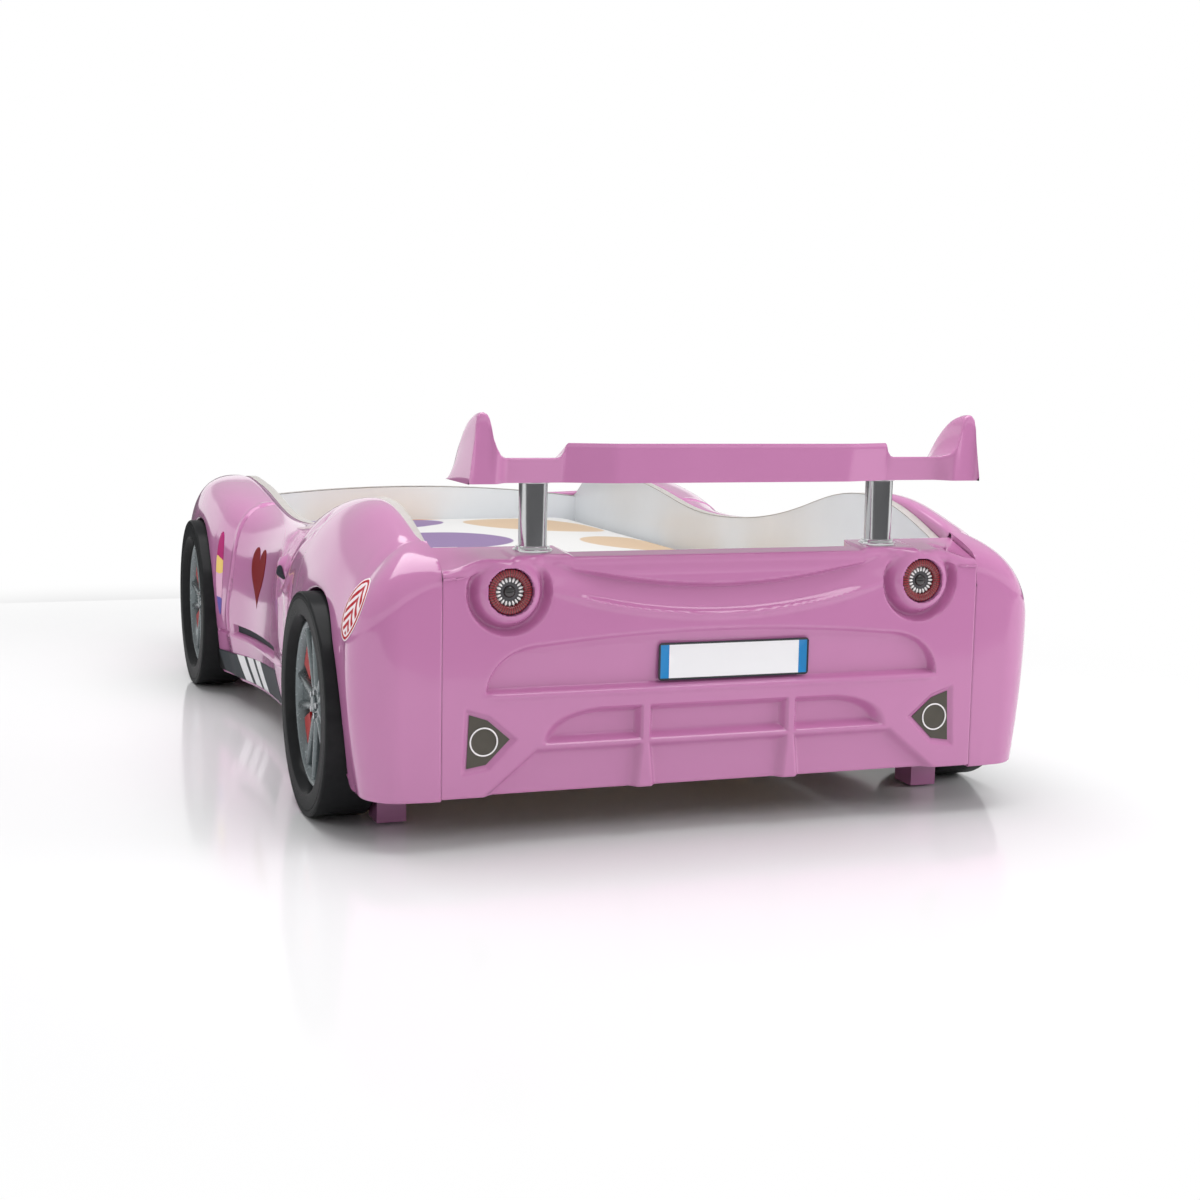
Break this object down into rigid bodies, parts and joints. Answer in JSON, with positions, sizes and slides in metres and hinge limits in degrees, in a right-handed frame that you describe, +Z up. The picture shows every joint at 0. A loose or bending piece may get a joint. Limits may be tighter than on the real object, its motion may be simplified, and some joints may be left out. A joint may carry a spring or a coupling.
{
  "type": "toddler bed",
  "caption": "Race-car shaped child's bed with pink moulded shells, fixed wheels, rear spoiler, tail lamps, white inner boards, slatted base and printed mattress.",
  "frame": {"origin": "on the floor under the middle of the overall box", "axes": "+X towards the nose of the car, +Y to its left, +Z up"},
  "size_m": [2.284, 1.264, 0.6945],
  "materials": {
    "pink_moulding": "gloss lacquered moulding",
    "white_laminate": "white laminated board",
    "pine": "planed pine",
    "beech_ply": "bent plywood slat",
    "mattress_ticking": "printed cotton cover on foam",
    "tyre_black": "satin black moulding",
    "rim_grey": "grey metallic lacquer",
    "disc_dark": "dark satin",
    "caliper_red": "gloss red",
    "zinc_steel": "zinc plated",
    "tube_steel": "satin steel tube",
    "lamp_red": "dark red clear plastic",
    "lamp_bright": "bright reflector",
    "insert_grey": "dark grey satin",
    "ring_white": "white",
    "plate_white": "white with blue ends",
    "lens_clear": "clear polycarbonate",
    "grille_black": "satin black",
    "glide_black": "felt-faced plastic"
  },
  "bodies": {
    "bed": {"brake_disc_front_left": "disc_dark", "brake_disc_front_right": "disc_dark", "brake_disc_rear_left": "disc_dark", "brake_disc_rear_right": "disc_dark", "caliper_front_left": "caliper_red", "caliper_front_right": "caliper_red", "caliper_rear_left": "caliper_red", "caliper_rear_right": "caliper_red", "corner_brackets": "zinc_steel", "exhaust_insert_left": "insert_grey", "exhaust_insert_right": "insert_grey", "exhaust_rings": "ring_white", "front_board": "white_laminate", "front_grille": "grille_black", "front_shell": "pink_moulding", "headlamp_bowl_left": "lamp_bright", "headlamp_bowl_right": "lamp_bright", "headlamp_lens_left": "lens_clear", "headlamp_lens_right": "lens_clear", "hub_caps": "rim_grey", "leg_front_left": "pink_moulding", "leg_front_right": "pink_moulding", "leg_glides": "glide_black", "leg_rear_left": "pink_moulding", "leg_rear_right": "pink_moulding", "number_plate": "plate_white", "post_collars": "tube_steel", "post_flanges": "tube_steel", "rail_screws": "zinc_steel", "rear_board": "white_laminate", "rear_shell": "pink_moulding", "rim_front_left": "rim_grey", "rim_front_right": "rim_grey", "rim_rear_left": "rim_grey", "rim_rear_right": "rim_grey", "side_board_left": "white_laminate", "side_board_right": "white_laminate", "side_shell_left": "pink_moulding", "side_shell_right": "pink_moulding", "slat_rail_left": "pine", "slat_rail_right": "pine", "spoiler_bolts": "zinc_steel", "spoiler_post_left": "tube_steel", "spoiler_post_right": "tube_steel", "spoiler_wing": "pink_moulding", "tail_core_left": "lamp_bright", "tail_core_right": "lamp_bright", "tail_lens_left": "lamp_red", "tail_lens_right": "lamp_red", "tyre_front_left": "tyre_black", "tyre_front_right": "tyre_black", "tyre_rear_left": "tyre_black", "tyre_rear_right": "tyre_black", "wheel_bolts": "zinc_steel"},
    "slat_base": {"base_beams": "pine", "slats": "beech_ply"},
    "mattress": {"mattress": "mattress_ticking"}
  },
  "joints": [
    {"name": "base_lift", "type": "slide", "parent": "bed", "child": "slat_base", "axis": [0, 0, 1], "range_m": [0, 0.3]},
    {"name": "mattress_lift", "type": "slide", "parent": "slat_base", "child": "mattress", "axis": [0, 0, 1], "range_m": [0, 0.25]}
  ]
}
